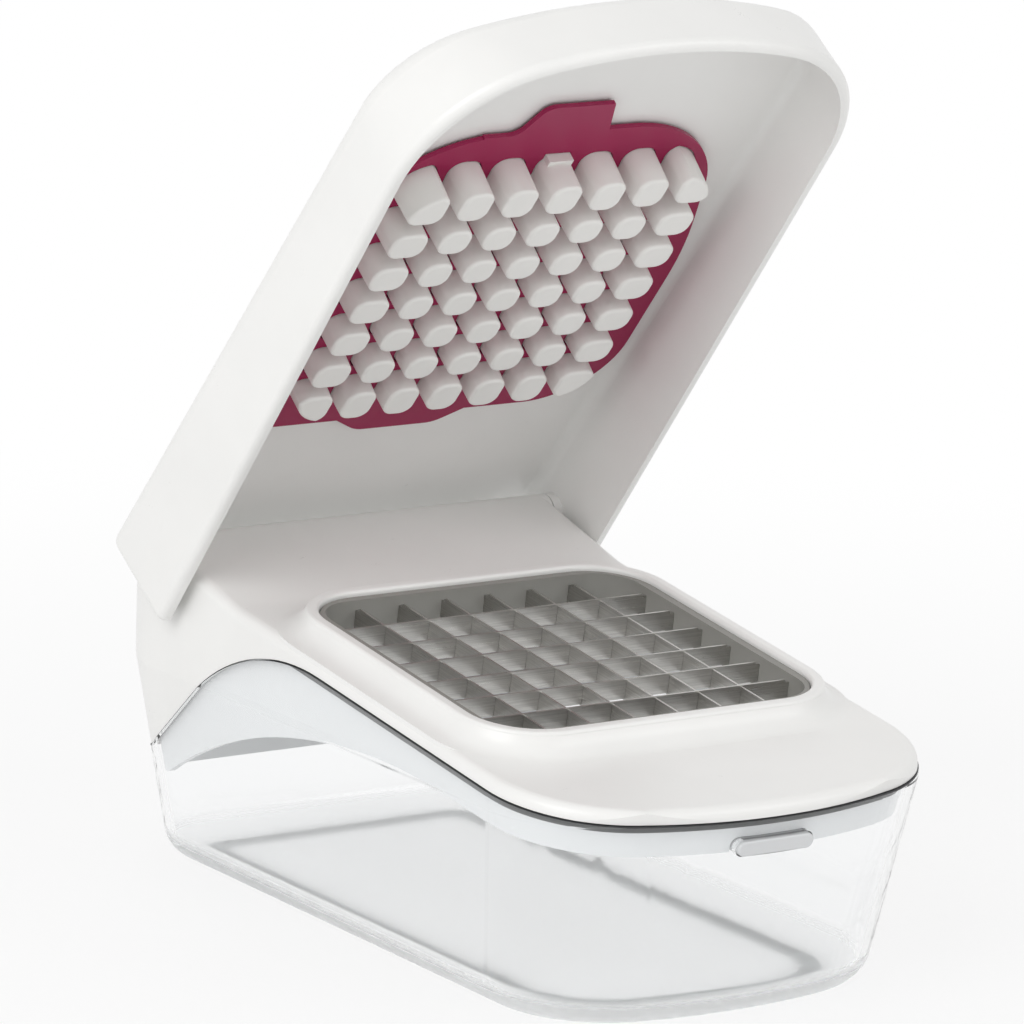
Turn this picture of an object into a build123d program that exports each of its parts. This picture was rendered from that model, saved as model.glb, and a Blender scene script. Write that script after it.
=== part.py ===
from build123d import *
import math
import os

os.makedirs("parts", exist_ok=True)

# Frame of the part: millimetres, origin on the table under the middle of the plan outline,
# +Z up, -Y towards the nose with the release button, +X to the right.
# The deck and all that is fixed to it are drawn in a tilted frame of their own: its
# origin is the middle of the blade grid, on the top edges of the crosswise blades.

# Deck frame
DECK_TILT = 7.5
GRID_HEIGHT = 67.4
DECK_DROP = 2.6
DECK_THICKNESS = 2.5

# Blade grid
CELL_PITCH = 12.0
CELLS_PER_SIDE = 7
BLADE_THICKNESS = 0.5
BLADE_DEPTH = 4.9
BLADE_STEP = 0.4
BLADE_TAB_DROP = 0.7
BLADE_TAB_LENGTH = 2.3
SLOT_CLEARANCE = 0.05
FRAME_MARGIN = 1.2
FRAME_RIM = 2.2
FRAME_RISE = 1.4
FRAME_FLOOR = 6.2
FRAME_SPLIT = 2.6
FRAME_CORNER_RADIUS = 14.7
GRID_CORNER_RADIUS = 10.0
RIVET_RADIUS = 0.6
RIVET_INSET = 1.1
RIVET_COVER = 0.9
POCKET_CLEARANCE = 0.3

# Housing
HOUSING_WALL = 2.5
POCKET_WALL = 2.0
LEDGE_THICKNESS = 2.0
LEDGE_SETBACK = 0.3
LIP_HEIGHT = 5.3
LIP_CREST = 3.2
LIP_BANK = 6.2
LIP_ROUND = 0.9
LIP_ROOT = 1.5
LIP_BANK_POINT = 0.35
LIP_BANK_SAG = 0.27
CREASE_MARGIN = 0.4
CREASE_RADIUS = 2.5
NOSE_REACH = 43.7
NOSE_RADIUS = 132.0
SHOULDER_RADIUS = 31.0
REAR_CORNER_RADIUS = 18.0
HINGE_REACH = 48.4
HINGE_DROP = 2.9
BARREL_RADIUS = 5.0
REAR_REACH = 21.5
REAR_STEP_DROP = 8.0
REAR_STEP_REACH = 9.5
REAR_BROW_DROP = 12.0
REAR_BROW_REACH = 18.0
RAMP_SETBACK = 36.0
RAMP_RADIUS = 40.0

# Container
CONTAINER_WALL = 2.2
CONTAINER_FLOOR = 2.4
CONTAINER_OVERHANG = 0.3
BASE_ROUND = 9.0
FLOOR_ROUND = 7.0
SIDE_LEAN = 7.8
FRONT_LEAN = 12.2
REAR_LEAN = 7.5
REAR_LEAN_HEIGHT = 52.0
SEAM_DROP = 3.4
SEAM_GAP = 0.4
SEAM_HUMP_SETBACK = 44.8
SEAM_HUMP_RADIUS = 75.0
SEAM_HEEL_REACH = 6.7
SEAM_HEEL_HEIGHT = 28.0
SEAM_HEEL_RADIUS = 12.0
FOOT_HEIGHT = 1.6
FOOT_LIFT = 0.6
FOOT_INSET = 10.0
FOOT_WIDTH = 5.0

# Inner skirt
SKIRT_CLEARANCE = 0.8
SKIRT_WALL = 1.8
SKIRT_PLATE = 1.8
SKIRT_DROP = 8.2
SKIRT_ARCH_START = 33.0
SKIRT_CROWN_HEIGHT = 50.0
SKIRT_SLOPE_SETBACK = 43.2
SKIRT_SLOPE_HEIGHT = 42.0
SKIRT_TAIL_HEIGHT = 23.6
SKIRT_HEEL_HEIGHT = 20.0

# Release button, its guide and its spring
BUTTON_WIDTH = 20.4
BUTTON_HEIGHT = 3.6
BUTTON_DEPTH_BELOW_GRID = 12.7
BUTTON_PROUD = 1.4
BUTTON_CLEARANCE = 0.3
BUTTON_EDGE_RADIUS = 0.5
BUTTON_TRAVEL = 3.0
BUTTON_FLANGE_MARGIN = 2.2
BUTTON_FLANGE_THICKNESS = 1.2
BUTTON_FLANGE_GAP = 1.2
SPRING_STEM_RADIUS = 0.8
SPRING_RADIUS = 1.5
SPRING_WIRE_RADIUS = 0.25
SPRING_TURNS = 5
SPRING_LENGTH = 6.0
SPRING_END_GAP = 0.05
GUIDE_WALL = 1.5
GUIDE_EAR_WIDTH = 7.0
GUIDE_EAR_THICKNESS = 1.6

# Screws
SCREW_RADIUS = 1.3
SCREW_HEAD_RADIUS = 2.6
SCREW_HEAD_HEIGHT = 1.4
SCREW_COVER = 1.6
SCREW_TIP_GAP = 0.2
BOSS_RADIUS = 3.4
SCREW_FRONT_X = 34.0
SCREW_REAR_X = 44.0
SCREW_STANDOFF = 14.0

# Hinge
PIN_RADIUS = 2.0
PIN_FIT = 0.05
PIN_BEARING = 12.0
PIN_END_GAP = 0.3
HINGE_SIDE_GAP = 0.3

# Lid
OPEN_ANGLE = 56.0
LID_TOP = 9.2
LID_CEILING = 6.2
LID_WALL = 3.0
LID_SIDE_ROOM = 2.2
LID_SIDE_LEAN = 0.5
LID_FRONT_LEAN = 20.0
LID_NOSE_MARGIN = 3.3
LID_NOSE_RADIUS = 140.0
LID_TOP_SHOULDER_RADIUS = 25.0
LID_RIM_SHOULDER_RADIUS = 39.0
LID_RIM_DROP = 12.5
LID_RIM_TILT = 2.5
LID_TOP_ROUND = 5.0
LID_CEILING_ROUND = 3.0
LID_TAIL_REACH = 6.8
LID_TAIL_SLOPE = 8.0
LID_TAIL_ROUND = 2.0
LID_BOSS_RADIUS = 5.0
LID_SKIN = 0.9

# Pusher and cleaning grid
BLOCK_CLEARANCE = 1.7
BLOCK_FRAME_GAP = 1.7
BLOCK_CORNER_RADIUS = 3.2
BLOCK_END_ROUND = 0.8
BLOCK_DRAFT = 2.0
BLOCK_DIP = 5.3
BLOCK_FIELD_RADIUS = 9.5
CATCH_WIDTH = 5.8
CATCH_HEIGHT = 2.0
CATCH_REACH = 0.6
PUSHER_PLATE = 1.4
PUSHER_RECESS = 0.8
PUSHER_MARGIN = 2.3
CLEANER_FACE_HEIGHT = 4.3
CLEANER_THICKNESS = 1.2
CLEANER_RIB_HEIGHT = 3.9
CLEANER_RIB_BEND = 13.0
CLEANER_CLEARANCE = 0.25
CLEANER_FRONT_MARGIN = 8.8
CLEANER_REAR_MARGIN = 13.8
CLEANER_FRONT_HALF = 42.9
CLEANER_BEND_HALF = 54.9
CLEANER_BEND_REACH = 2.0
CLEANER_REAR_HALF = 55.8
CLEANER_FRONT_RADIUS = 32.0
CLEANER_BEND_RADIUS = 100.0
CLEANER_REAR_RADIUS = 21.0
CLEANER_TAB_REACH = 9.2
CLEANER_TAB_LEFT = 14.5
CLEANER_TAB_RIGHT = 8.0
CLEANER_TAB_FLARE = 3.6
CLEANER_TAB_SHOULDER = 9.0
CLEANER_TAB_RADIUS = 4.0
CLEANER_TAIL_REACH = 4.6
CLEANER_TAIL_HALF = 11.0
CLEANER_TAIL_SHOULDER = 7.0
CLEANER_TAIL_RADIUS = 8.0

# Room beyond every piece for the cutting solids, how far one runs past a face it cuts,
# and how near a point has to be to count as lying on a plane
BEYOND = 160.0
CUT_PAST = 1.0
ON_PLANE = 0.01

# Sizes that follow from the ones above
TILT_COS = math.cos(math.radians(DECK_TILT))
TILT_SIN = math.sin(math.radians(DECK_TILT))
SIDE_SLOPE = math.tan(math.radians(SIDE_LEAN))
FRONT_SLOPE = math.tan(math.radians(FRONT_LEAN))
REAR_SLOPE = math.tan(math.radians(REAR_LEAN))
DECK_SLOPE = math.tan(math.radians(DECK_TILT))
LID_SIDE_SLOPE = math.tan(math.radians(LID_SIDE_LEAN))
LID_FRONT_SLOPE = math.tan(math.radians(LID_FRONT_LEAN))
LID_RIM_SLOPE = math.tan(math.radians(LID_RIM_TILT))
LID_TAIL_LEAN = math.tan(math.radians(LID_TAIL_SLOPE))
GRID_HALF = CELL_PITCH * CELLS_PER_SIDE / 2
FRAME_INNER = GRID_HALF + FRAME_MARGIN
FRAME_OUTER = FRAME_INNER + FRAME_RIM
POCKET_HALF = FRAME_OUTER + POCKET_CLEARANCE
POCKET_RADIUS = FRAME_CORNER_RADIUS + POCKET_CLEARANCE
HOUSING_HALF_WIDTH = POCKET_HALF + LIP_CREST + LIP_BANK + CREASE_MARGIN
NOSE = -(POCKET_HALF + NOSE_REACH)
HINGE = POCKET_HALF + HINGE_REACH
LID_HALF_WIDTH = HOUSING_HALF_WIDTH + CONTAINER_OVERHANG + LID_SIDE_ROOM + LID_WALL
BLOCK_LIMIT = FRAME_INNER - BLOCK_FRAME_GAP
BLOCK_BASE = LID_CEILING + PUSHER_RECESS - PUSHER_PLATE
BLOCK_FLARE = (BLOCK_BASE + BLOCK_DIP) * math.tan(math.radians(BLOCK_DRAFT))
PUSHER_HALF = BLOCK_LIMIT + PUSHER_MARGIN
CLEANER_FRONT = -(BLOCK_LIMIT + CLEANER_FRONT_MARGIN)
CLEANER_REAR = BLOCK_LIMIT + CLEANER_REAR_MARGIN
BLADE_PLACES = [CELL_PITCH * (index + 1) - GRID_HALF for index in range(CELLS_PER_SIDE - 1)]
CELL_PLACES = [CELL_PITCH * (index + 0.5) - GRID_HALF for index in range(CELLS_PER_SIDE)]
LEDGE_BOTTOM = -(FRAME_FLOOR + LEDGE_THICKNESS)
PLATE_BOTTOM = LEDGE_BOTTOM - SKIRT_PLATE
NOSE_SEAM_HEIGHT = GRID_HEIGHT + NOSE * TILT_SIN - DECK_DROP * TILT_COS - SEAM_DROP
NOSE_OFFSET = NOSE * TILT_COS + DECK_DROP * TILT_SIN
HINGE_OFFSET = HINGE * TILT_COS + HINGE_DROP * TILT_SIN
FRONT_OFFSET = NOSE_OFFSET - CONTAINER_OVERHANG
REAR_OFFSET = HINGE_OFFSET + REAR_REACH
GRID_CENTRE_Y = -(FRONT_OFFSET + REAR_OFFSET) / 2
NOSE_Y = GRID_CENTRE_Y + NOSE_OFFSET
HINGE_Y = GRID_CENTRE_Y + HINGE_OFFSET
HINGE_Z = GRID_HEIGHT + HINGE * TILT_SIN - HINGE_DROP * TILT_COS
REAR_Y = HINGE_Y + REAR_REACH

DECK_PLACE = Location((0, GRID_CENTRE_Y, GRID_HEIGHT), (DECK_TILT, 0, 0))
LID_PLACE = (
    DECK_PLACE
    * Location((0, HINGE, -HINGE_DROP))
    * Location((0, 0, 0), (-OPEN_ANGLE, 0, 0))
    * Location((0, -HINGE, HINGE_DROP))
)


def deck_height(y):
    """Height of the deck's top plane above the table at the world's y."""
    return GRID_HEIGHT + (y - GRID_CENTRE_Y) * DECK_SLOPE - DECK_DROP / TILT_COS


def seam_height(y):
    """Height of the straight part of the seam at the world's y."""
    return deck_height(y) - SEAM_DROP


def nose_outline(half_width, front, rear, front_radius, shoulder_radius, rear_radius):
    """Plan outline with a bowed front, round shoulders and a straight rear edge."""
    shoulder_x = half_width - shoulder_radius
    reach = front_radius - shoulder_radius
    bow_y = front + front_radius
    shoulder_y = bow_y - math.sqrt(reach**2 - shoulder_x**2)
    meet_x = shoulder_x * front_radius / reach
    meet_y = bow_y - (bow_y - shoulder_y) * front_radius / reach
    middle = Vector(meet_x - shoulder_x, meet_y - shoulder_y) + Vector(shoulder_radius, 0)
    middle = middle.normalized() * shoulder_radius
    round_x = half_width - rear_radius
    round_y = rear - rear_radius
    diagonal = rear_radius * math.sqrt(0.5)
    right = [
        ThreePointArc(
            (meet_x, meet_y),
            (shoulder_x + middle.X, shoulder_y + middle.Y),
            (half_width, shoulder_y),
        ),
        Line((half_width, shoulder_y), (half_width, round_y)),
        ThreePointArc(
            (half_width, round_y),
            (round_x + diagonal, round_y + diagonal),
            (round_x, rear),
        ),
    ]
    left = [mirror(edge, about=Plane.YZ) for edge in right]
    bow = ThreePointArc((-meet_x, meet_y), (0, front), (meet_x, meet_y))
    tail = Line((round_x, rear), (-round_x, rear))
    return make_face([bow, *right, tail, *reversed(left)])


def tub_section(height, inset):
    """Plan outline of the leaning walls at a height, drawn in by an inset."""
    below_nose = NOSE_SEAM_HEIGHT - height
    half_width = HOUSING_HALF_WIDTH + CONTAINER_OVERHANG - below_nose * SIDE_SLOPE
    front = NOSE_Y - CONTAINER_OVERHANG + below_nose * FRONT_SLOPE
    rear = REAR_Y - (REAR_LEAN_HEIGHT - height) * REAR_SLOPE
    outline = nose_outline(
        half_width - inset,
        front + inset,
        rear - inset,
        NOSE_RADIUS - inset,
        SHOULDER_RADIUS - inset,
        REAR_CORNER_RADIUS - inset,
    )
    return Pos(0, 0, height) * outline


def tub(low, high, inset):
    """Solid bounded by the leaning walls between two heights."""
    return loft([tub_section(low, inset), tub_section(high, inset)], ruled=True)


def side_slab(outline):
    """Solid of a side-view outline, given as y and z of its frame, across the whole width."""
    return extrude(Plane.YZ * outline, amount=BEYOND, both=True)


def closed_to_height(path, height):
    """Side-view face between a path that runs front to rear and a level line."""
    start = path @ 0
    end = path @ 1
    closing = Polyline(end, (end.X, height), (start.X, height), start)
    return make_face(path.edges() + closing.edges())


def seam_path(shift):
    """Side view of the seam between housing and container, moved up by a shift."""
    hump_y = HINGE_Y - SEAM_HUMP_SETBACK
    heel_y = HINGE_Y + SEAM_HEEL_REACH
    points = [
        (-BEYOND, seam_height(-BEYOND) + shift),
        (hump_y, seam_height(hump_y) + shift),
        (heel_y, SEAM_HEEL_HEIGHT + shift),
        (BEYOND, SEAM_HEEL_HEIGHT + shift),
    ]
    return FilletPolyline(*points, radius=[SEAM_HUMP_RADIUS, SEAM_HEEL_RADIUS])


def skirt_edge_path():
    """Side view of the skirt's lower edge: level with the seam, an arch, then a heel."""
    arch_y = GRID_CENTRE_Y - SKIRT_ARCH_START
    start = (-BEYOND, seam_height(-BEYOND) - SKIRT_DROP)
    arch_start = (arch_y, seam_height(arch_y) - SKIRT_DROP)
    crown = (GRID_CENTRE_Y, SKIRT_CROWN_HEIGHT)
    slope = (HINGE_Y - SKIRT_SLOPE_SETBACK, SKIRT_SLOPE_HEIGHT)
    tail = (HINGE_Y, SKIRT_TAIL_HEIGHT)
    edges = [
        Line(start, arch_start),
        Spline(arch_start, crown, slope, tail),
        Line(tail, (REAR_Y, SKIRT_HEEL_HEIGHT)),
        Line((REAR_Y, SKIRT_HEEL_HEIGHT), (BEYOND, SKIRT_HEEL_HEIGHT)),
    ]
    return Wire(edges)


def ramp_top():
    """Where the ramp behind the lip touches the hinge barrel, as world y and z."""
    rise = BARREL_RADIUS + HINGE_DROP - DECK_DROP
    steep = math.radians(DECK_TILT) + math.atan2(rise, RAMP_SETBACK)
    return (HINGE_Y - BARREL_RADIUS * math.sin(steep), HINGE_Z + BARREL_RADIUS * math.cos(steep))


def top_profile(lowered):
    """Side view of the region under the housing's top, lowered by a wall thickness."""
    ramp_y = HINGE_Y - RAMP_SETBACK
    ramp_end = ramp_top()
    top = FilletPolyline(
        (-BEYOND, deck_height(-BEYOND) - lowered),
        (ramp_y, deck_height(ramp_y) - lowered),
        (ramp_end[0], ramp_end[1] - lowered),
        radius=RAMP_RADIUS,
    )
    step = (HINGE_Y + REAR_STEP_REACH - lowered, HINGE_Z - REAR_STEP_DROP - lowered)
    brow = (HINGE_Y + REAR_BROW_REACH - lowered, HINGE_Z - REAR_BROW_DROP - lowered)
    brow_slope = (REAR_STEP_DROP - REAR_BROW_DROP) / (REAR_BROW_REACH - REAR_STEP_REACH)
    rest = Polyline(
        top @ 1,
        step,
        brow,
        (BEYOND, brow[1] + (BEYOND - brow[0]) * brow_slope),
        (BEYOND, 0),
        (-BEYOND, 0),
        top @ 0,
    )
    return make_face(top.edges() + rest.edges())


def rounded_square(half, radius):
    """Face of a square with round corners, about the deck frame's origin."""
    return RectangleRounded(2 * half, 2 * half, radius)


def plate(outline, low, high):
    """Solid of an outline between two heights of its own frame."""
    return extrude(Pos(0, 0, low) * outline, amount=high - low)


def square_ring(profile, half, radius):
    """Profile in x and z, with x outward from the ring's inner edge, carried round a square."""
    straight = half - radius
    face = Plane.XZ * profile
    side = extrude(Pos(half, 0, 0) * face, amount=straight, both=True)
    corner_axis = Axis((straight, straight, 0), (0, 0, 1))
    corner = revolve(Pos(half, straight, 0) * face, axis=corner_axis, revolution_arc=90)
    ring = Part()
    for quarter in range(4):
        ring += Rot(0, 0, 90 * quarter) * (side + corner)
    return ring


def lip_profile():
    """Section of the raised lip: a round crest and a hollow bank down to the deck."""
    deck = -DECK_DROP
    crest = deck + LIP_HEIGHT
    foot_x = LIP_CREST + LIP_BANK
    bank_low = (LIP_CREST + LIP_BANK * LIP_BANK_POINT, deck + LIP_HEIGHT * LIP_BANK_SAG)
    turn = LIP_ROUND * (1 - math.sqrt(0.5))
    edges = [
        Line((0, deck - LIP_ROOT), (0, crest - LIP_ROUND)),
        ThreePointArc(
            (0, crest - LIP_ROUND),
            (turn, crest - turn),
            (LIP_ROUND, crest),
        ),
        Line((LIP_ROUND, crest), (LIP_CREST - LIP_ROUND, crest)),
        ThreePointArc(
            (LIP_CREST - LIP_ROUND, crest),
            (LIP_CREST - turn, crest - turn),
            (LIP_CREST, crest - LIP_ROUND),
        ),
        ThreePointArc((LIP_CREST, crest - LIP_ROUND), bank_low, (foot_x, deck)),
        Line((foot_x, deck), (foot_x, deck - LIP_ROOT)),
        Line((foot_x, deck - LIP_ROOT), (0, deck - LIP_ROOT)),
    ]
    return make_face(edges)


def screw_places():
    """Deck-frame places of the four screws that hold the skirt up to the housing."""
    front_y = -(POCKET_HALF + SCREW_STANDOFF)
    rear_y = POCKET_HALF + SCREW_STANDOFF
    places = []
    for side in (-1, 1):
        places.append((side * SCREW_FRONT_X, front_y))
        places.append((side * SCREW_REAR_X, rear_y))
    return places


def rod(radius, low, high):
    """Upright round rod between two heights."""
    return Pos(0, 0, (low + high) / 2) * Cylinder(radius, high - low)


def cross_rod(radius, start, end):
    """Round rod along X at the hinge line, in the deck frame."""
    middle = (start + end) / 2
    return Pos(middle, HINGE, -HINGE_DROP) * Rot(0, 90, 0) * Cylinder(radius, abs(end - start))


def screw(x, y, seat, tip):
    """Screw pushed up from a seat, with its head below."""
    shank = rod(SCREW_RADIUS, seat, tip)
    head = rod(SCREW_HEAD_RADIUS, seat - SCREW_HEAD_HEIGHT, seat)
    return Pos(x, y, 0) * (shank + head)


def pill(width, height, start, end):
    """Solid with a pill-shaped section, along the deck frame's Y axis."""
    plane = Plane(
        origin=(0, start, -BUTTON_DEPTH_BELOW_GRID),
        x_dir=(1, 0, 0),
        z_dir=(0, 1, 0),
    )
    return extrude(plane * SlotOverall(width, height), amount=end - start)


# Places along the button's axis, in the deck frame
WALL_FRONT = NOSE + (BUTTON_DEPTH_BELOW_GRID - DECK_DROP - SEAM_DROP) * (FRONT_SLOPE - DECK_SLOPE)
SKIRT_BACK = WALL_FRONT + CONTAINER_WALL + SKIRT_CLEARANCE + SKIRT_WALL
BUTTON_FACE = WALL_FRONT - BUTTON_PROUD
FLANGE_FRONT = SKIRT_BACK + BUTTON_FLANGE_GAP
FLANGE_BACK = FLANGE_FRONT + BUTTON_FLANGE_THICKNESS
GUIDE_BACK = FLANGE_BACK + SPRING_LENGTH
FLANGE_HALF = BUTTON_WIDTH / 2 + BUTTON_FLANGE_MARGIN
GUIDE_HALF = FLANGE_HALF + BUTTON_CLEARANCE + GUIDE_WALL
BUTTON_BOTTOM = -(BUTTON_DEPTH_BELOW_GRID + BUTTON_HEIGHT / 2)
EAR_X = GUIDE_HALF + GUIDE_EAR_WIDTH / 2
EAR_Y = (FLANGE_BACK + GUIDE_BACK) / 2


def make_container():
    """Clear tub with round base edges, a seam-shaped rim and the button's hole."""
    top = seam_height(HINGE_Y)
    outer = tub(FOOT_LIFT, top, 0)
    outer = fillet(outer.edges().group_by(Axis.Z)[0], BASE_ROUND)
    outer = outer & housing_prism(-CONTAINER_OVERHANG)
    inner = tub(FOOT_LIFT + CONTAINER_FLOOR, top + CONTAINER_WALL, CONTAINER_WALL)
    inner = fillet(inner.edges().group_by(Axis.Z)[0], FLOOR_ROUND)
    inner = inner & housing_prism(CONTAINER_WALL - CONTAINER_OVERHANG)
    above = side_slab(closed_to_height(seam_path(-SEAM_GAP / 2), BEYOND))
    hole = pill(
        BUTTON_WIDTH + 2 * BUTTON_CLEARANCE,
        BUTTON_HEIGHT + 2 * BUTTON_CLEARANCE,
        BUTTON_FACE - BUTTON_TRAVEL,
        SKIRT_BACK,
    )
    groove = foot_ring(0, FOOT_HEIGHT)
    return outer - inner - above - DECK_PLACE * hole - groove


def foot_ring(low, high):
    """Ring under the base, inside the round edge."""
    outer = plate(tub_section(0, FOOT_INSET), low, high)
    inner = plate(tub_section(0, FOOT_INSET + FOOT_WIDTH), low, high)
    return outer - inner


def housing_prism(inset):
    """Upright walls of the housing, drawn in by an inset."""
    outline = nose_outline(
        HOUSING_HALF_WIDTH - inset,
        NOSE_Y + inset,
        REAR_Y - inset,
        NOSE_RADIUS - inset,
        SHOULDER_RADIUS - inset,
        REAR_CORNER_RADIUS - inset,
    )
    return plate(outline, 0, BEYOND)


def housing_form(inset):
    """Outside of the housing, or its cavity when drawn in by the wall."""
    lowered = inset * DECK_THICKNESS / HOUSING_WALL
    upright = housing_prism(inset) & tub(0, BEYOND, inset + CONTAINER_OVERHANG)
    return upright & side_slab(top_profile(lowered))


def is_crease(edge):
    """Whether an edge runs round the deck and its ramp, ahead of the hinge line."""
    places = [edge @ 0, edge @ 0.5, edge @ 1]
    on_top = all(place.Z > deck_height(place.Y) - ON_PLANE for place in places)
    across = all(abs(place.Y - places[0].Y) < ON_PLANE for place in places)
    return on_top and not across and edge.center().Y < HINGE_Y - BARREL_RADIUS


def make_housing_top():
    """White top shell: deck, raised lip, insert pocket, hinge barrel and screw bosses."""
    outer = housing_form(0)
    outer = fillet([edge for edge in outer.edges() if is_crease(edge)], CREASE_RADIUS)
    below = side_slab(closed_to_height(seam_path(SEAM_GAP / 2), 0))
    shell = outer - housing_form(HOUSING_WALL) - below
    lip = square_ring(lip_profile(), POCKET_HALF, POCKET_RADIUS)
    pocket_outer = rounded_square(POCKET_HALF + POCKET_WALL, POCKET_RADIUS + POCKET_WALL)
    pocket = plate(pocket_outer, LEDGE_BOTTOM, -DECK_DROP)
    opening = plate(rounded_square(POCKET_HALF, POCKET_RADIUS), -FRAME_FLOOR, BEYOND)
    chute_half = FRAME_INNER + LEDGE_SETBACK
    chute = plate(
        rounded_square(chute_half, GRID_CORNER_RADIUS + LEDGE_SETBACK),
        LEDGE_BOTTOM - CUT_PAST,
        0,
    )
    deck_work = lip + pocket
    for x, y in screw_places():
        deck_work += Pos(x, y, 0) * rod(BOSS_RADIUS, LEDGE_BOTTOM, -DECK_DROP - DECK_THICKNESS / 2)
    deck_work += cross_rod(BARREL_RADIUS, -HOUSING_HALF_WIDTH, HOUSING_HALF_WIDTH)
    housing = shell + DECK_PLACE * deck_work
    cuts = opening + chute
    for x, y in screw_places():
        cuts += Pos(x, y, 0) * rod(SCREW_RADIUS, LEDGE_BOTTOM, -(DECK_DROP + SCREW_COVER))
    for side in (-1, 1):
        cuts += cross_rod(
            PIN_RADIUS,
            side * (HOUSING_HALF_WIDTH - PIN_BEARING),
            side * (HOUSING_HALF_WIDTH + CUT_PAST),
        )
    return housing - DECK_PLACE * cuts


def make_inner_skirt():
    """Inner frame: a plate under the deck and a wall that hangs inside the container."""
    high = GRID_HEIGHT + HOUSING_HALF_WIDTH
    inset = CONTAINER_WALL + SKIRT_CLEARANCE
    room = housing_prism(HOUSING_WALL)
    outer = tub(SEAM_HEEL_HEIGHT / 2, high, inset) & room
    inner = tub(SEAM_HEEL_HEIGHT / 2, high, inset + SKIRT_WALL)
    inner = inner & housing_prism(HOUSING_WALL + SKIRT_WALL)
    slab = Pos(0, 0, LEDGE_BOTTOM - BEYOND / 2) * Box(3 * BEYOND, 3 * BEYOND, BEYOND)
    core = Pos(0, 0, PLATE_BOTTOM - BEYOND / 2) * Box(3 * BEYOND, 3 * BEYOND, BEYOND)
    behind = side_slab(top_profile(DECK_THICKNESS))
    body = (outer & (DECK_PLACE * slab)) & behind
    hollow = inner & (DECK_PLACE * core)
    below = side_slab(closed_to_height(skirt_edge_path(), 0))
    skirt = body - hollow - below
    cuts = plate(
        rounded_square(FRAME_INNER + LEDGE_SETBACK, GRID_CORNER_RADIUS + LEDGE_SETBACK),
        PLATE_BOTTOM - CUT_PAST,
        0,
    )
    for x, y in screw_places():
        cuts += Pos(x, y, 0) * rod(SCREW_RADIUS, PLATE_BOTTOM - CUT_PAST, 0)
    for side in (-1, 1):
        hole = rod(SCREW_RADIUS, PLATE_BOTTOM - CUT_PAST, LEDGE_BOTTOM - SCREW_TIP_GAP)
        cuts += Pos(side * EAR_X, EAR_Y, 0) * hole
    slot = pill(
        BUTTON_WIDTH + 2 * BUTTON_CLEARANCE,
        BUTTON_HEIGHT + 2 * BUTTON_CLEARANCE,
        BUTTON_FACE,
        FLANGE_FRONT,
    )
    notch = Pos(0, (BUTTON_FACE + FLANGE_FRONT) / 2, -BUTTON_DEPTH_BELOW_GRID - BUTTON_HEIGHT) * Box(
        BUTTON_WIDTH + 2 * BUTTON_CLEARANCE, FLANGE_FRONT - BUTTON_FACE, 2 * BUTTON_HEIGHT
    )
    return skirt - DECK_PLACE * (cuts + slot + notch)


def make_release_button():
    """Pill-shaped button with a hidden flange that stops it and a stem for its spring."""
    face = pill(BUTTON_WIDTH, BUTTON_HEIGHT, BUTTON_FACE, FLANGE_FRONT)
    front_edges = face.edges().group_by(Axis.Y)[0]
    face = fillet(front_edges, BUTTON_EDGE_RADIUS)
    flange_height = PLATE_BOTTOM - BUTTON_CLEARANCE - BUTTON_BOTTOM
    flange = Pos(0, (FLANGE_FRONT + FLANGE_BACK) / 2, BUTTON_BOTTOM + flange_height / 2) * Box(
        2 * FLANGE_HALF, BUTTON_FLANGE_THICKNESS, flange_height
    )
    stem_length = SPRING_LENGTH - BUTTON_TRAVEL - BUTTON_CLEARANCE
    stem = Pos(0, FLANGE_BACK + stem_length / 2, -BUTTON_DEPTH_BELOW_GRID) * Rot(90, 0, 0)
    return DECK_PLACE * (face + flange + stem * Cylinder(SPRING_STEM_RADIUS, stem_length))


def make_button_guide():
    """Bracket screwed under the plate: two cheeks, a back wall and two ears."""
    height = PLATE_BOTTOM - BUTTON_BOTTOM
    middle_z = BUTTON_BOTTOM + height / 2
    length = GUIDE_BACK + GUIDE_WALL - FLANGE_FRONT
    cheek_x = GUIDE_HALF - GUIDE_WALL / 2
    guide = Pos(0, GUIDE_BACK + GUIDE_WALL / 2, middle_z) * Box(2 * GUIDE_HALF, GUIDE_WALL, height)
    for side in (-1, 1):
        cheek = Box(GUIDE_WALL, length, height)
        guide += Pos(side * cheek_x, FLANGE_FRONT + length / 2, middle_z) * cheek
        ear = Box(GUIDE_EAR_WIDTH, GUIDE_EAR_WIDTH, GUIDE_EAR_THICKNESS)
        guide += Pos(side * EAR_X, EAR_Y, PLATE_BOTTOM - GUIDE_EAR_THICKNESS / 2) * ear
    for side in (-1, 1):
        guide -= Pos(side * EAR_X, EAR_Y, 0) * rod(SCREW_RADIUS, BUTTON_BOTTOM, 0)
    return DECK_PLACE * guide


def make_button_spring():
    """Small coil spring between the button's flange and the guide's back wall."""
    length = SPRING_LENGTH - 2 * (SPRING_WIRE_RADIUS + SPRING_END_GAP)
    coil_path = Helix(length / SPRING_TURNS, length, SPRING_RADIUS)
    section = Plane(origin=coil_path @ 0, z_dir=coil_path % 0) * Circle(SPRING_WIRE_RADIUS)
    coil = sweep(section, path=coil_path)
    start = FLANGE_BACK + SPRING_WIRE_RADIUS + SPRING_END_GAP
    place = Location((0, start, -BUTTON_DEPTH_BELOW_GRID), (-90, 0, 0))
    return DECK_PLACE * (place * coil)


def make_guide_screws():
    """Two screws that hold the button's guide to the plate."""
    seat = PLATE_BOTTOM - GUIDE_EAR_THICKNESS
    tip = LEDGE_BOTTOM - SCREW_TIP_GAP
    return DECK_PLACE * Compound([screw(side * EAR_X, EAR_Y, seat, tip) for side in (-1, 1)])


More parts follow.
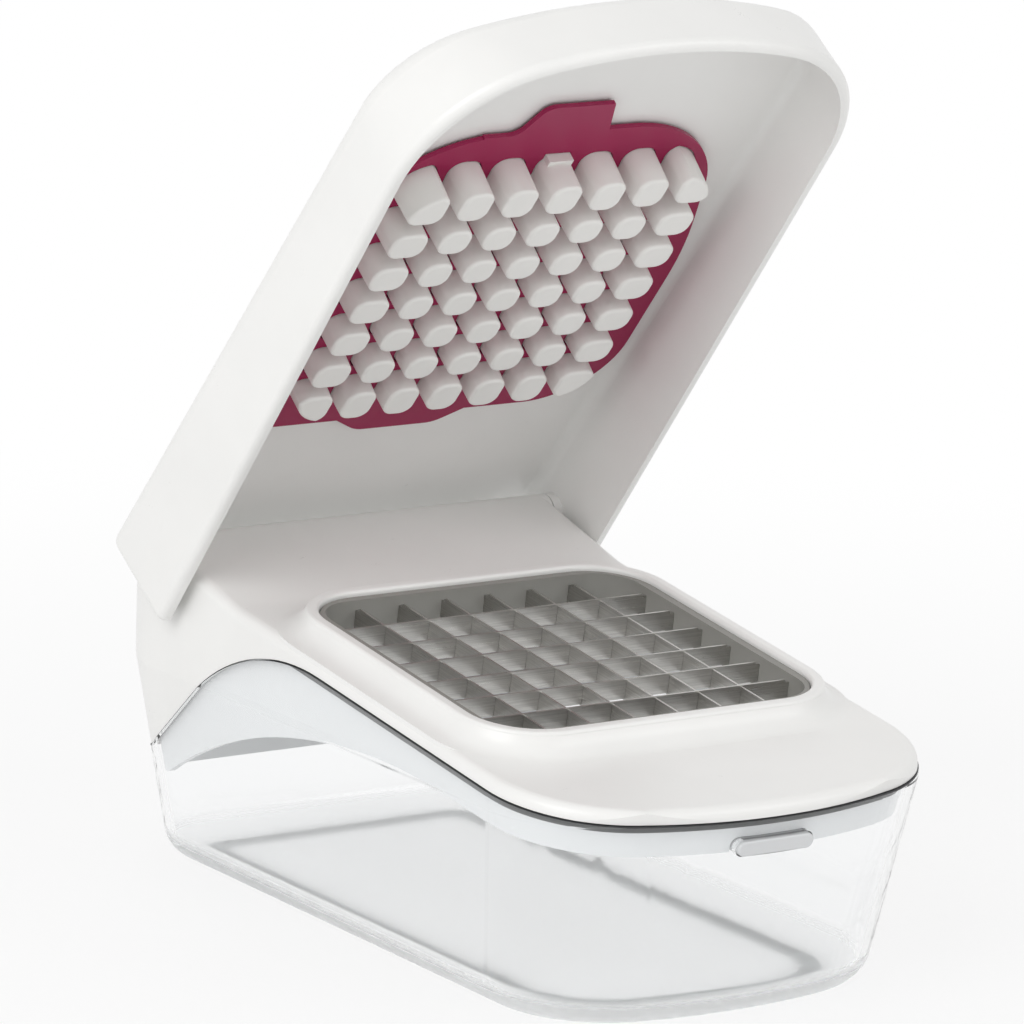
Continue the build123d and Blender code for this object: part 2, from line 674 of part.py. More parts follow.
def make_skirt_screws():
    """Four screws that hold the inner skirt to the housing's bosses."""
    tip = -(DECK_DROP + SCREW_COVER)
    return DECK_PLACE * Compound([screw(x, y, PLATE_BOTTOM, tip) for x, y in screw_places()])


def blade_outline(top, bottom, joint, slot_from_top):
    """Side view of one strip: tabs at its ends and a half-depth slot at each crossing."""
    tab_half = GRID_HALF + BLADE_TAB_LENGTH
    strip = Pos(0, (top + bottom) / 2) * Rectangle(2 * GRID_HALF, top - bottom)
    tab_top = top - BLADE_TAB_DROP
    strip += Pos(0, (tab_top + bottom) / 2) * Rectangle(2 * tab_half, tab_top - bottom)
    slot_end = top + CUT_PAST if slot_from_top else bottom - CUT_PAST
    slot_width = BLADE_THICKNESS + 2 * SLOT_CLEARANCE
    for place in BLADE_PLACES:
        strip -= Pos(place, (slot_end + joint) / 2) * Rectangle(slot_width, abs(slot_end - joint))
    return strip


def blade_across(place):
    """Strip that runs from side to side, slotted from below."""
    joint = -(BLADE_DEPTH + BLADE_STEP) / 2
    outline = blade_outline(0, -BLADE_DEPTH, joint, False)
    return Pos(0, place, 0) * extrude(Plane.XZ * outline, amount=BLADE_THICKNESS / 2, both=True)


def blade_along(place):
    """Strip that runs from nose to hinge, slotted from above and set a little lower."""
    joint = -(BLADE_DEPTH + BLADE_STEP) / 2
    outline = blade_outline(-BLADE_STEP, -BLADE_STEP - BLADE_DEPTH, joint, True)
    return Pos(place, 0, 0) * extrude(Plane.YZ * outline, amount=BLADE_THICKNESS / 2, both=True)


def frame_slots():
    """Slots in the frame for the tabs of every blade."""
    half = GRID_HALF + BLADE_TAB_LENGTH + SLOT_CLEARANCE
    width = BLADE_THICKNESS + 2 * SLOT_CLEARANCE
    across_top = -BLADE_TAB_DROP + SLOT_CLEARANCE
    across_bottom = -BLADE_DEPTH - SLOT_CLEARANCE
    slots = Part()
    for place in BLADE_PLACES:
        middle = (across_top + across_bottom) / 2
        bar = Box(2 * half, width, across_top - across_bottom)
        slots += Pos(0, place, middle) * bar
        bar = Box(width, 2 * half, across_top - across_bottom)
        slots += Pos(place, 0, middle - BLADE_STEP) * bar
    return slots


def frame_ring(low, high):
    """One of the two rings that clamp the blades."""
    outer = plate(rounded_square(FRAME_OUTER, FRAME_CORNER_RADIUS), low, high)
    inner = plate(rounded_square(FRAME_INNER, GRID_CORNER_RADIUS), low - CUT_PAST, high + CUT_PAST)
    return outer - inner - frame_slots() - rivets()


def rivets():
    """Eight rivets, two through each side of the frame, in line with the outer cells."""
    along = CELL_PLACES[1]
    across = FRAME_INNER + RIVET_INSET
    low = -FRAME_FLOOR
    high = FRAME_RISE - RIVET_COVER
    pins = []
    for side in (-1, 1):
        for end in (-1, 1):
            pins.append(Pos(side * across, end * along, 0) * rod(RIVET_RADIUS, low, high))
            pins.append(Pos(end * along, side * across, 0) * rod(RIVET_RADIUS, low, high))
    return pins


def lid_section(height, inset):
    """Plan outline of the lid's leaning walls at a height of the deck frame."""
    below_top = LID_TOP - height
    to_rim = below_top / (LID_TOP + LID_RIM_DROP)
    shoulder = LID_TOP_SHOULDER_RADIUS
    shoulder += (LID_RIM_SHOULDER_RADIUS - LID_TOP_SHOULDER_RADIUS) * to_rim
    outline = nose_outline(
        lid_half_width(height) - inset,
        NOSE - LID_NOSE_MARGIN - below_top * LID_FRONT_SLOPE + inset,
        BEYOND,
        LID_NOSE_RADIUS - inset,
        shoulder - inset,
        REAR_CORNER_RADIUS,
    )
    return Pos(0, 0, height) * outline


def lid_half_width(height):
    """Half-width of the lid over its side walls at a height of the deck frame."""
    return LID_HALF_WIDTH + (LID_TOP - height) * LID_SIDE_SLOPE


def lid_trim():
    """Side-view face of what the lid keeps: a tilted rim and a sloping tail."""
    high = LID_TOP + CUT_PAST
    tail_high = HINGE + LID_TAIL_REACH + CUT_PAST * LID_TAIL_LEAN
    tail_low = tail_high - (high + 2 * LID_RIM_DROP) * LID_TAIL_LEAN
    points = [
        (-BEYOND, -LID_RIM_DROP + (BEYOND + NOSE) * LID_RIM_SLOPE),
        (tail_low, -LID_RIM_DROP - (tail_low - NOSE) * LID_RIM_SLOPE),
        (tail_high, high),
        (-BEYOND, high),
    ]
    radii = [0, LID_TAIL_ROUND, 0, 0]
    return side_slab(make_face(FilletPolyline(*points, radius=radii, close=True)))


def is_tail_crest(edge):
    """Whether an edge is on the upper border of the lid's tail."""
    middle = edge.center()
    return middle.Z > LID_TOP - LID_TOP_ROUND and middle.Y > HINGE + LID_TAIL_REACH / 2


def make_lid_shell():
    """Lid in its closed place: shell, pusher recess and two blind hinge bosses."""
    low = -2 * LID_RIM_DROP
    outer = loft([lid_section(low, 0), lid_section(LID_TOP, 0)], ruled=True)
    outer = fillet(outer.edges().group_by(Axis.Z)[-1], LID_TOP_ROUND)
    inner_low = lid_section(low - CUT_PAST, LID_WALL)
    inner = loft([inner_low, lid_section(LID_CEILING, LID_WALL)], ruled=True)
    inner = fillet(inner.edges().group_by(Axis.Z)[-1], LID_CEILING_ROUND)
    outer = outer & lid_trim()
    outer = fillet([edge for edge in outer.edges() if is_tail_crest(edge)], LID_TAIL_ROUND)
    shell = outer - inner
    shell -= plate(
        rounded_square(PUSHER_HALF + CLEANER_CLEARANCE, FRAME_CORNER_RADIUS),
        LID_CEILING - CUT_PAST,
        LID_CEILING + PUSHER_RECESS,
    )
    boss_start = HOUSING_HALF_WIDTH + HINGE_SIDE_GAP
    boss_end = lid_half_width(-HINGE_DROP) - LID_WALL / 2
    blind_end = lid_half_width(-HINGE_DROP) - LID_SKIN
    for side in (-1, 1):
        shell += cross_rod(LID_BOSS_RADIUS, side * boss_start, side * boss_end)
    for side in (-1, 1):
        shell -= cross_rod(PIN_RADIUS + PIN_FIT, side * HOUSING_HALF_WIDTH, side * blind_end)
    return shell


def block_span(index):
    """Lower and upper edge of a block's tip along one axis, wider towards the frame."""
    centre = CELL_PLACES[index]
    half = (CELL_PITCH - BLADE_THICKNESS) / 2 - BLOCK_CLEARANCE
    low = centre - half
    high = centre + half
    if index == 0:
        low = -BLOCK_LIMIT
    if index == CELLS_PER_SIDE - 1:
        high = BLOCK_LIMIT
    return low, high


def block_outline(column, row, grow):
    """Plan of one block's tip, grown by a margin for its draft or the hole around it."""
    left, right = block_span(column)
    front, rear = block_span(row)
    width = right - left + 2 * grow
    depth = rear - front + 2 * grow
    place = Pos((left + right) / 2, (front + rear) / 2)
    return place * RectangleRounded(width, depth, BLOCK_CORNER_RADIUS + grow)


def block_field(grow):
    """Plans of all blocks, trimmed at the corners of the field."""
    limit = rounded_square(BLOCK_LIMIT + grow, BLOCK_FIELD_RADIUS + grow)
    outlines = []
    for column in range(CELLS_PER_SIDE):
        for row in range(CELLS_PER_SIDE):
            outlines.append(block_outline(column, row, grow) & limit)
    return outlines


def catch_rib(grow, low, high):
    """Short rib on the tip side of the middle block of the tip row."""
    depth = CATCH_REACH + BLOCK_CORNER_RADIUS
    middle_y = -BLOCK_LIMIT - CATCH_REACH + depth / 2
    outline = Rectangle(CATCH_WIDTH + 2 * grow, depth + 2 * grow)
    return plate(Pos(0, middle_y) * outline, low, high)


def make_pusher():
    """White pusher: a plate bonded into the lid and one drafted block for each cell."""
    pusher = plate(
        rounded_square(PUSHER_HALF, FRAME_CORNER_RADIUS),
        BLOCK_BASE,
        LID_CEILING + PUSHER_RECESS,
    )
    blocks = []
    for outline in block_field(0):
        tip = Pos(0, 0, -BLOCK_DIP) * outline
        block = extrude(tip, amount=BLOCK_BASE + BLOCK_DIP, taper=-BLOCK_DRAFT)
        blocks.append(fillet(block.edges().group_by(Axis.Z)[0], BLOCK_END_ROUND))
    catch_low = CLEANER_FACE_HEIGHT - CLEANER_CLEARANCE - CATCH_HEIGHT
    return pusher + blocks + catch_rib(BLOCK_FLARE, catch_low, BLOCK_BASE)


def cleaner_outline():
    """Plan of the cleaning grid, narrower towards the tip."""
    right = [
        (CLEANER_FRONT_HALF, CLEANER_FRONT),
        (CLEANER_BEND_HALF, -CLEANER_BEND_REACH),
        (CLEANER_REAR_HALF, CLEANER_REAR),
    ]
    left = [(-x, y) for x, y in reversed(right)]
    radii = [CLEANER_FRONT_RADIUS, CLEANER_BEND_RADIUS, CLEANER_REAR_RADIUS]
    path = FilletPolyline(*right, *left, radius=radii + radii[::-1], close=True)
    return make_face(path)


def cleaner_tab():
    """Plan of the finger tab at the tip: one soft shoulder and one square end."""
    tip = CLEANER_FRONT - CLEANER_TAB_REACH
    root = CLEANER_FRONT + CLEANER_TAB_RADIUS
    points = [
        (-CLEANER_TAB_LEFT - CLEANER_TAB_SHOULDER, CLEANER_FRONT),
        (-CLEANER_TAB_LEFT, CLEANER_FRONT),
        (-CLEANER_TAB_LEFT + CLEANER_TAB_SHOULDER / 2, tip),
        (CLEANER_TAB_RIGHT, tip),
        (CLEANER_TAB_RIGHT + CLEANER_TAB_FLARE, root),
        (-CLEANER_TAB_LEFT - CLEANER_TAB_SHOULDER, root),
    ]
    radii = [0, CLEANER_TAB_RADIUS, CLEANER_TAB_RADIUS, 0, 0, 0]
    return make_face(FilletPolyline(*points, radius=radii, close=True))


def cleaner_tail():
    """Plan of the shallow round lobe at the hinge side."""
    tip = CLEANER_REAR + CLEANER_TAIL_REACH
    foot = CLEANER_TAIL_HALF + CLEANER_TAIL_SHOULDER
    root = CLEANER_REAR - CLEANER_TAIL_REACH
    points = [
        (-foot, root),
        (-foot, CLEANER_REAR),
        (-CLEANER_TAIL_HALF, tip),
        (CLEANER_TAIL_HALF, tip),
        (foot, CLEANER_REAR),
        (foot, root),
    ]
    radii = [0, 0, CLEANER_TAIL_RADIUS, CLEANER_TAIL_RADIUS, 0, 0]
    return make_face(FilletPolyline(*points, radius=radii, close=True))


def cleaner_ribs():
    """Ribs between the blocks: flush with the plate at the tip, tallest from the bend on."""
    low = CLEANER_FACE_HEIGHT - CLEANER_RIB_HEIGHT
    high = CLEANER_FACE_HEIGHT + CLEANER_THICKNESS / 2
    side = Polyline(
        (-BLOCK_LIMIT, CLEANER_FACE_HEIGHT),
        (CLEANER_RIB_BEND, low),
        (BLOCK_LIMIT, low),
        (BLOCK_LIMIT, high),
        (-BLOCK_LIMIT, high),
        close=True,
    )
    field = rounded_square(BLOCK_LIMIT, BLOCK_FIELD_RADIUS)
    return side_slab(make_face(side)) & plate(field, low, high)


def make_cleaning_grid():
    """Coloured grid round the blocks: it slides along them to push out what sticks."""
    low = CLEANER_FACE_HEIGHT
    high = low + CLEANER_THICKNESS
    outline = cleaner_outline() + cleaner_tab() + cleaner_tail()
    bottom = low - CLEANER_RIB_HEIGHT - CUT_PAST
    grow = BLOCK_FLARE + CLEANER_CLEARANCE
    cuts = [plate(hole, bottom, high + CUT_PAST) for hole in block_field(grow)]
    cuts.append(catch_rib(grow, bottom, high + CUT_PAST))
    return plate(outline, low, high) + cleaner_ribs() - cuts


def make_hinge_pin(side):
    """Steel pin: pressed into the housing's barrel, turning in the lid's blind boss."""
    inner_end = HOUSING_HALF_WIDTH - PIN_BEARING
    outer_end = lid_half_width(-HINGE_DROP) - LID_SKIN - PIN_END_GAP
    return DECK_PLACE * cross_rod(PIN_RADIUS, side * inner_end, side * outer_end)


def save(shape, name):
    """Write one piece under its name."""
    export_step(shape, "parts/" + name + ".step")


save(make_container(), "container")
save(foot_ring(0, FOOT_HEIGHT), "non_slip_foot")
save(make_housing_top(), "housing_top")
save(make_inner_skirt(), "inner_skirt")
save(make_skirt_screws(), "skirt_screws")
save(make_hinge_pin(-1), "hinge_pin_left")
save(make_hinge_pin(1), "hinge_pin_right")
save(make_release_button(), "release_button")
save(make_button_guide(), "button_guide")
save(make_button_spring(), "button_spring")
save(make_guide_screws(), "guide_screws")
save(DECK_PLACE * frame_ring(-FRAME_SPLIT, FRAME_RISE), "blade_frame_upper")
save(DECK_PLACE * frame_ring(-FRAME_FLOOR, -FRAME_SPLIT), "blade_frame_lower")
save(DECK_PLACE * Compound(rivets()), "blade_frame_rivets")
for number, place in enumerate(BLADE_PLACES, start=1):
    save(DECK_PLACE * blade_across(place), f"blade_across_{number}")
    save(DECK_PLACE * blade_along(place), f"blade_along_{number}")
save(LID_PLACE * make_lid_shell(), "lid_shell")
save(LID_PLACE * make_pusher(), "pusher")
save(LID_PLACE * make_cleaning_grid(), "cleaning_grid")
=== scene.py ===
"""Dresses the packed vegetable chopper in plastic, steel and a clear tub, and builds its studio."""

import math

import bmesh
import bpy
from bpy.props import FloatProperty, FloatVectorProperty, PointerProperty
from mathutils import Matrix, Vector

bl_info = {
    "name": "Vegetable Chopper",
    "version": (1, 0, 0),
    "blender": (4, 5, 0),
    "location": "3D View > Sidebar > Chopper",
    "description": "Materials and studio for a lidded vegetable chopper",
    "category": "Object",
}

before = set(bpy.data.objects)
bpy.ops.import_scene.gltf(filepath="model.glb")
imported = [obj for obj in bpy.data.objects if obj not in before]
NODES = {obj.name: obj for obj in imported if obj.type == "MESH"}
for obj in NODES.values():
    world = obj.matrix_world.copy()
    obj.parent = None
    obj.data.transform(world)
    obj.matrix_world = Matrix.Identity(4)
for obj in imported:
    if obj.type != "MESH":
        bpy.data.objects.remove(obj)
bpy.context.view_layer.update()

MILLIMETRE = 0.001
PLASTIC_IOR = 1.49

# Turns from the world's axes to those of the tilted deck and of the open lid
DECK_TILT = math.radians(7.5)
LID_OPEN = math.radians(56.0)
DECK_TURN = (-DECK_TILT, 0, 0)
LID_TURN = (LID_OPEN - DECK_TILT, 0, 0)

# Heights in millimetres between which faces that look up start to count as the tub's rim, whose
# upper face is painted dark as the shadow in the seam gap under the housing
RIM_LOW = 24
RIM_HIGH = 26

# Camera of the photograph's view: place in metres, right and forward axes, lens in millimetres
CAMERA_PLACE = Vector((-0.8469, -1.27939, 0.4366))
CAMERA_RIGHT = Vector((0.8390, -0.5434, 0.0289))
CAMERA_FORWARD = Vector((0.5361, 0.8163, -0.2152))
CAMERA_LENS = 237.2
CAMERA_REACH = 20.0
SENSOR_WIDTH = 36.0

# Studio, in metres: the floor keeps a shadow near the chopper and loses it further out
FLOOR_RADIUS = 6.0
FLOOR_SEGMENTS = 96
SHADOW_NEAR = 0.16
SHADOW_FAR = 0.55
SHADOW_SHARE = 0.2
KEY_PLACE = Vector((-1.35, -0.65, 1.0))
KEY_SIZE = 1.3
FILL_PLACE = Vector((1.0, -1.3, 0.95))
FILL_SIZE = 1.0
LAMP_AIM = Vector((0, 0, 0.09))


# Shader expressions


class Value:
    """A shader socket that takes part in Python arithmetic."""

    def __init__(self, paint, socket):
        self.paint = paint
        self.socket = socket

    def _math(self, operation, first, second=None):
        inputs = {0: first} if second is None else {0: first, 1: second}
        return self.paint.node("ShaderNodeMath", {"operation": operation}, inputs)

    def __add__(self, other):
        return self._math("ADD", self, other)

    def __radd__(self, other):
        return self._math("ADD", other, self)

    def __sub__(self, other):
        return self._math("SUBTRACT", self, other)

    def __rsub__(self, other):
        return self._math("SUBTRACT", other, self)

    def __mul__(self, other):
        return self._math("MULTIPLY", self, other)

    def __rmul__(self, other):
        return self._math("MULTIPLY", other, self)

    def __truediv__(self, other):
        return self._math("DIVIDE", self, other)

    def __rtruediv__(self, other):
        return self._math("DIVIDE", other, self)

    def __abs__(self):
        return self._math("ABSOLUTE", self)

    def larger(self, other):
        """The larger of this value and another."""
        return self._math("MAXIMUM", self, other)

    def smooth(self, low, high):
        """From 0 at low to 1 at high, with soft ends."""
        inputs = {"Value": self, "From Min": low, "From Max": high}
        return self.paint.node("ShaderNodeMapRange", {"interpolation_type": "SMOOTHSTEP"}, inputs)


class Paint:
    """The node tree of a material or a world, built by expressions."""

    def __init__(self, owner, turn=None, output="ShaderNodeOutputMaterial"):
        self.owner = owner
        self.turn = turn
        self.output = output
        owner.use_nodes = True
        self.tree = owner.node_tree
        self.tree.nodes.clear()

    def node(self, kind, settings=None, inputs=None, output=0):
        """Adds a node with its settings, then its inputs, and gives one output if it has any."""
        node = self.tree.nodes.new(kind)
        for key, value in (settings or {}).items():
            setattr(node, key, value)
        for key, value in (inputs or {}).items():
            self.feed(node.inputs[key], value)
        return Value(self, node.outputs[output]) if node.outputs else None

    def feed(self, socket, value):
        """Links an expression to a socket, or sets the socket's own value."""
        if isinstance(value, Value):
            self.tree.links.new(value.socket, socket)
        elif hasattr(value, "__len__") and len(socket.default_value) > len(value):
            socket.default_value = (*value, 1.0)
        else:
            socket.default_value = value

    def coordinate(self, kind):
        """One of the piece's own sets of coordinates, such as Object or Normal."""
        return self.node("ShaderNodeTexCoord", output=kind)

    def place(self):
        """Object coordinates in metres, turned to the piece's own axes."""
        if self.turn is None:
            return self.coordinate("Object")
        inputs = {"Vector": self.coordinate("Object"), "Rotation": self.turn}
        return self.node("ShaderNodeMapping", {}, inputs)

    def stretched(self, scale):
        """The same coordinates with another scale on each axis."""
        return self.node("ShaderNodeMapping", {}, {"Vector": self.place(), "Scale": scale})

    def part(self, vector, letter):
        """One component of a vector."""
        return self.node("ShaderNodeSeparateXYZ", {}, {"Vector": vector}, output=letter)

    def across(self):
        """1 on faces that run straight from side to side, 0 on faces that look sideways."""
        return 1 - abs(self.part(self.coordinate("Normal"), "X")).smooth(0.05, 0.2)

    def upward(self):
        """How far a face looks up, from -1 to 1."""
        return self.part(self.coordinate("Normal"), "Z")

    def ray(self, kind):
        """1 for rays of one kind, 0 for all others."""
        return self.node("ShaderNodeLightPath", output="Is " + kind + " Ray")

    def seen(self):
        """1 where the camera looks straight at the surface, through the tub or by a reflection."""
        return self.ray("Camera").larger(self.ray("Transmission")).larger(self.ray("Glossy"))

    def noise(self, size, detail=2.0, roughness=0.5, coordinates=None):
        """Soft noise whose features have a size in millimetres."""
        inputs = {
            "Vector": coordinates or self.place(),
            "Scale": 1 / (size * MILLIMETRE),
            "Detail": detail,
            "Roughness": roughness,
        }
        return self.node("ShaderNodeTexNoise", {}, inputs)

    def mix(self, factor, first, second):
        """Colour between two colours, by the places of the mix node's colour sockets."""
        inputs = {0: factor, 6: first, 7: second}
        return self.node("ShaderNodeMix", {"data_type": "RGBA"}, inputs, output=2)

    def blend(self, factor, first, second):
        """Shader between two shaders."""
        return self.node("ShaderNodeMixShader", {}, {0: factor, 1: first, 2: second})

    def bump(self, height, depth):
        """Normal from a height between 0 and 1 that stands for a depth in millimetres."""
        inputs = {"Height": height, "Strength": 1.0, "Distance": depth * MILLIMETRE}
        return self.node("ShaderNodeBump", {}, inputs)

    def principled(self, **inputs):
        """A Principled shader, with underscores in place of the spaces in socket names."""
        named = {name.replace("_", " "): value for name, value in inputs.items()}
        return self.node("ShaderNodeBsdfPrincipled", {}, named)

    def finish(self, shader):
        """Ends the tree with a shader and gives the material or world."""
        self.node(self.output, {}, {"Surface": shader})
        return self.owner


def new_paint(name, turn=None):
    """Node tree of a new material."""
    return Paint(bpy.data.materials.new(name), turn)


def shade(colour, amount):
    """A colour made darker or lighter by a factor."""
    return tuple(min(1.0, channel * amount) for channel in colour[:3])


def dress(material, *names):
    """Gives a material to the named nodes."""
    for name in names:
        slots = NODES[name].data.materials
        slots.clear()
        slots.append(material)


# Finishes


def moulded(name, colour, roughness, grain=0.5, depth=0.004, turn=None, gloss=0.5, under=1):
    """Moulded plastic: fine tool grain, slow gloss changes and faint rubbing marks.

    With under less than 1, faces that look down keep only that share of the colour: painted shade
    that stands in for the dark shadow in the gap at a shell's lower edge.
    """
    paint = new_paint(name, turn)
    broad = paint.noise(size=34.0, detail=3.0, roughness=0.55)
    cloudy = paint.noise(size=7.0)
    fine = paint.noise(size=grain, detail=3.0, roughness=0.6)
    hair = paint.noise(1.0, 4.0, 0.7, coordinates=paint.stretched((1.0, 0.06, 0.4)))
    rubbed = hair.smooth(0.63, 0.70) * broad.smooth(0.45, 0.65)
    tint = paint.mix(broad.smooth(0.3, 0.7), shade(colour, 0.985), shade(colour, 1.012))
    tint = paint.mix(rubbed * 0.12, tint, shade(colour, 0.93))
    # Painted shade: faces that look down are darkened to stand in for the shadow in the seam gap
    if under < 1:
        painted_underside_shade = (1 - paint.upward().smooth(-0.6, -0.4)) * paint.across()
        tint = paint.mix(painted_underside_shade, tint, shade(colour, under))
    height = fine * 0.7 + cloudy * 0.3 - rubbed * 0.25
    shader = paint.principled(
        Base_Color=tint,
        Roughness=roughness + (cloudy - 0.5) * 0.08 + (fine - 0.5) * 0.05 + rubbed * 0.06,
        Specular_IOR_Level=gloss,
        IOR=PLASTIC_IOR,
        Normal=paint.bump(height, depth),
    )
    return paint.finish(shader)


def steel(name, colour, roughness, grain, turn=None):
    """Ground or rolled steel with a drawn grain along one axis and small stains."""
    paint = new_paint(name, turn)
    streak = paint.noise(1.0, 4.0, 0.65, coordinates=paint.stretched(grain))
    stain = paint.noise(size=9.0, detail=3.0, roughness=0.6)
    bright = streak.smooth(0.25, 0.75)
    tint = paint.mix(bright, shade(colour, 0.80), shade(colour, 1.14))
    tint = paint.mix(stain.smooth(0.55, 0.75) * 0.35, tint, shade(colour, 0.72))
    shader = paint.principled(
        Base_Color=tint,
        Metallic=1.0,
        Roughness=roughness + (1 - bright) * 0.10 + stain.smooth(0.5, 0.8) * 0.08,
        Normal=paint.bump(streak, 0.006),
    )
    return paint.finish(shader)


def clear_tub(tub):
    """Clear plastic with a satin, slightly milky base band, and a rim face painted dark grey as the
    shadow in the seam gap under the housing.
    """
    paint = new_paint("clear_tub")
    height = paint.part(paint.place(), "Z") / MILLIMETRE
    band = tub.band / MILLIMETRE
    satin = 1 - height.smooth(band * 0.4, band)
    wavy = paint.noise(size=26.0, detail=1.0)
    scuff = paint.noise(1.0, 4.0, 0.7, coordinates=paint.stretched((0.5, 0.08, 1.0)))
    clear = paint.principled(
        Base_Color=paint.mix(satin, tuple(tub.tint), shade(tub.tint, 0.96)),
        Roughness=tub.clearness + satin * 0.4 + scuff.smooth(0.64, 0.72) * 0.03,
        IOR=PLASTIC_IOR,
        Transmission_Weight=1.0,
        Normal=paint.bump(wavy, 0.012),
    )
    milky = paint.node("ShaderNodeBsdfTranslucent", {}, {"Color": shade(tub.tint, 0.95)})
    wall = paint.blend(satin * 0.55, clear, milky)
    passing = paint.node("ShaderNodeBsdfTransparent", {}, {"Color": (0.98, 0.984, 0.984)})
    wall = paint.blend(paint.ray("Shadow") + paint.ray("Diffuse"), wall, passing)
    # Painted shadow: the rim's upper face gets a dark grey shader that stands in for the shade in
    # the gap under the housing
    looks_up = paint.upward().smooth(0.25, 0.35)
    rim = looks_up * paint.across() * height.smooth(RIM_LOW, RIM_HIGH)
    painted_rim_shadow = paint.principled(Base_Color=tuple(tub.rim), Roughness=0.4, IOR=PLASTIC_IOR)
    return paint.finish(paint.blend(rim, wall, painted_rim_shadow))


# Sizes and colours


class ChopperPlastics(bpy.types.PropertyGroup):
    """Colours and gloss of the plastic pieces."""

    white: FloatVectorProperty(
        name="Shell white",
        description="Colour of the housing and the lid",
        subtype="COLOR", size=3, min=0, max=1, default=(0.872, 0.869, 0.852),
    )
    skirt: FloatVectorProperty(
        name="Inner frame",
        description="Colour of the frame inside the tub",
        subtype="COLOR", size=3, min=0, max=1, default=(0.86, 0.875, 0.885),
    )
    button: FloatVectorProperty(
        name="Button",
        description="Colour of the release button and its guide",
        subtype="COLOR", size=3, min=0, max=1, default=(0.68, 0.69, 0.70),
    )
    blocks: FloatVectorProperty(
        name="Pusher",
        description="Colour of the pusher and its blocks",
        subtype="COLOR", size=3, min=0, max=1, default=(0.85, 0.84, 0.815),
    )
    grid: FloatVectorProperty(
        name="Cleaning grid",
        description="Colour of the cleaning grid",
        subtype="COLOR", size=3, min=0, max=1, default=(0.32, 0.013, 0.075),
    )
    blade_frame: FloatVectorProperty(
        name="Blade frame",
        description="Colour of the two rings that hold the blades",
        subtype="COLOR", size=3, min=0, max=1, default=(0.27, 0.265, 0.245),
    )
    foot: FloatVectorProperty(
        name="Foot ring",
        description="Colour of the soft ring under the tub",
        subtype="COLOR", size=3, min=0, max=1, default=(0.80, 0.82, 0.82),
    )
    shell_roughness: FloatProperty(
        name="Shell roughness",
        description="Roughness of the white shells",
        subtype="FACTOR", min=0, max=1, default=0.30,
    )


class ChopperTub(bpy.types.PropertyGroup):
    """The clear container."""

    tint: FloatVectorProperty(
        name="Tint",
        description="Tint of the clear plastic",
        subtype="COLOR", size=3, min=0, max=1, default=(0.99, 0.994, 0.996),
    )
    band: FloatProperty(
        name="Satin band",
        description="Height of the satin band round the base",
        subtype="DISTANCE", unit="LENGTH", min=0, max=0.02, default=0.009,
    )
    # Painted shadow: this dark grey stands in for the shade of the seam gap on the rim's upper face
    # under the housing
    rim: FloatVectorProperty(
        name="Rim",
        description="Colour of the rim's upper face, under the housing",
        subtype="COLOR", size=3, min=0, max=1, default=(0.10, 0.10, 0.105),
    )
    clearness: FloatProperty(
        name="Surface roughness",
        description="Roughness of the polished walls",
        subtype="FACTOR", min=0, max=1, default=0.02,
    )


class ChopperSteel(bpy.types.PropertyGroup):
    """Blades, pins, rivets, screws and spring."""

    blade: FloatVectorProperty(
        name="Blades",
        description="Colour of the blade strips",
        subtype="COLOR", size=3, min=0, max=1, default=(0.52, 0.51, 0.49),
    )
    pin: FloatVectorProperty(
        name="Pins",
        description="Colour of pins, rivets and spring",
        subtype="COLOR", size=3, min=0, max=1, default=(0.58, 0.58, 0.58),
    )
    screw: FloatVectorProperty(
        name="Screws",
        description="Colour of the plated screws",
        subtype="COLOR", size=3, min=0, max=1, default=(0.60, 0.60, 0.63),
    )


class ChopperStage(bpy.types.PropertyGroup):
    """Floor, lamps and world."""

    floor: FloatVectorProperty(
        name="Floor",
        description="Colour of the floor",
        subtype="COLOR", size=3, min=0, max=1, default=(0.92, 0.92, 0.92),
    )
    key_power: FloatProperty(
        name="Key lamp",
        description="Power of the large lamp at the left",
        subtype="POWER", unit="POWER", min=0, max=200, default=12.0,
    )
    fill_power: FloatProperty(
        name="Fill lamp",
        description="Power of the lamp at the right of the nose",
        subtype="POWER", unit="POWER", min=0, max=200, default=4.5,
    )
    sky: FloatProperty(
        name="Surrounding light",
        description="Strength of the light from all round",
        subtype="FACTOR", min=0, max=2, default=0.63,
    )


SETTINGS = {
    "plastics": ChopperPlastics,
    "tub": ChopperTub,
    "steel": ChopperSteel,
    "stage": ChopperStage,
}


def chosen(context, group):
    """One group of sizes and colours of the scene."""
    return getattr(context.scene, "chopper_" + group)


# Operators


class CHOPPER_OT_tub(bpy.types.Operator):
    """Clear container with a satin base band, and its foot ring"""

    bl_idname = "chopper.tub"
    bl_label = "Container"

    def execute(self, context):
        dress(clear_tub(chosen(context, "tub")), "container")
        foot = moulded("soft_foot", chosen(context, "plastics").foot, 0.55, grain=0.8)
        dress(foot, "non_slip_foot")
        return {"FINISHED"}


class CHOPPER_OT_housing(bpy.types.Operator):
    """White housing top, the inner frame under it and their screws"""

    bl_idname = "chopper.housing"
    bl_label = "Housing"

    def execute(self, context):
        plastics = chosen(context, "plastics")
        metal = chosen(context, "steel")
        roughness = plastics.shell_roughness
        # The housing's downward faces keep a fifth of the colour, as painted shade for the seam gap
        # above the tub
        white = moulded("housing_white", plastics.white, roughness, turn=DECK_TURN, under=0.2)
        dress(white, "housing_top")
        dress(moulded("frame_white", plastics.skirt, 0.24, turn=DECK_TURN), "inner_skirt")
        dress(steel("plated_screw", metal.screw, 0.3, (2.0, 2.0, 0.6)), "skirt_screws")
        return {"FINISHED"}


